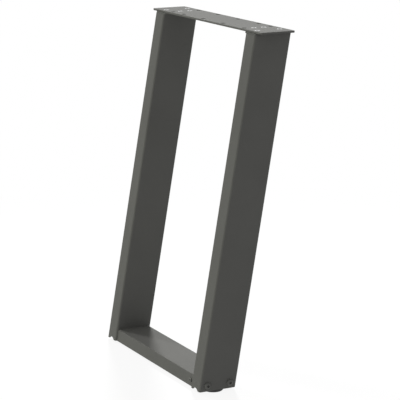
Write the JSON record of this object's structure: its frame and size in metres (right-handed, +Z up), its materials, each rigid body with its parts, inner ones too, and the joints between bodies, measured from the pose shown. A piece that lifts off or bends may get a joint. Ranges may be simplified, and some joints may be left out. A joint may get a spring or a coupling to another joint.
{
  "type": "u shaped table leg",
  "caption": "Leaning flat-tube steel table leg frame with a drilled top plate, a lower cross beam and screw-in levelling feet.",
  "frame": {"origin": "centre of the top plate's upper face, where the table top lies", "axes": "+Z up out of the plate, X along the plate from tube to tube, +Y the way the top end leans; front is -Y"},
  "size_m": [0.49, 0.2061, 0.72],
  "materials": {
    "coated_steel": "matte powder coat",
    "zinc_screw": "zinc plated",
    "bare_steel": "bare machined",
    "dark_bolt": "matte dark coating",
    "foot_plastic": "moulded matte"
  },
  "bodies": {
    "frame": {"top_plate": "coated_steel", "left_tube": "coated_steel", "right_tube": "coated_steel", "left_top_flange": "coated_steel", "right_top_flange": "coated_steel", "left_plate_screws": "zinc_screw", "right_plate_screws": "zinc_screw", "cross_beam": "coated_steel", "left_beam_plug": "bare_steel", "right_beam_plug": "bare_steel", "left_beam_bolts": "dark_bolt", "right_beam_bolts": "dark_bolt", "beam_lock_screw": "dark_bolt", "left_foot_plate": "coated_steel", "right_foot_plate": "coated_steel", "left_foot_nut": "zinc_screw", "right_foot_nut": "zinc_screw"},
    "left_foot": {"left_foot_stem": "zinc_screw", "left_foot_pad": "foot_plastic"},
    "right_foot": {"right_foot_stem": "zinc_screw", "right_foot_pad": "foot_plastic"}
  },
  "joints": [
    {"name": "left_foot_adjust", "type": "slide", "parent": "frame", "child": "left_foot", "axis": [0, 0, -1], "range_m": [0, 0.01]},
    {"name": "right_foot_adjust", "type": "slide", "parent": "frame", "child": "right_foot", "axis": [0, 0, -1], "range_m": [0, 0.01]}
  ]
}
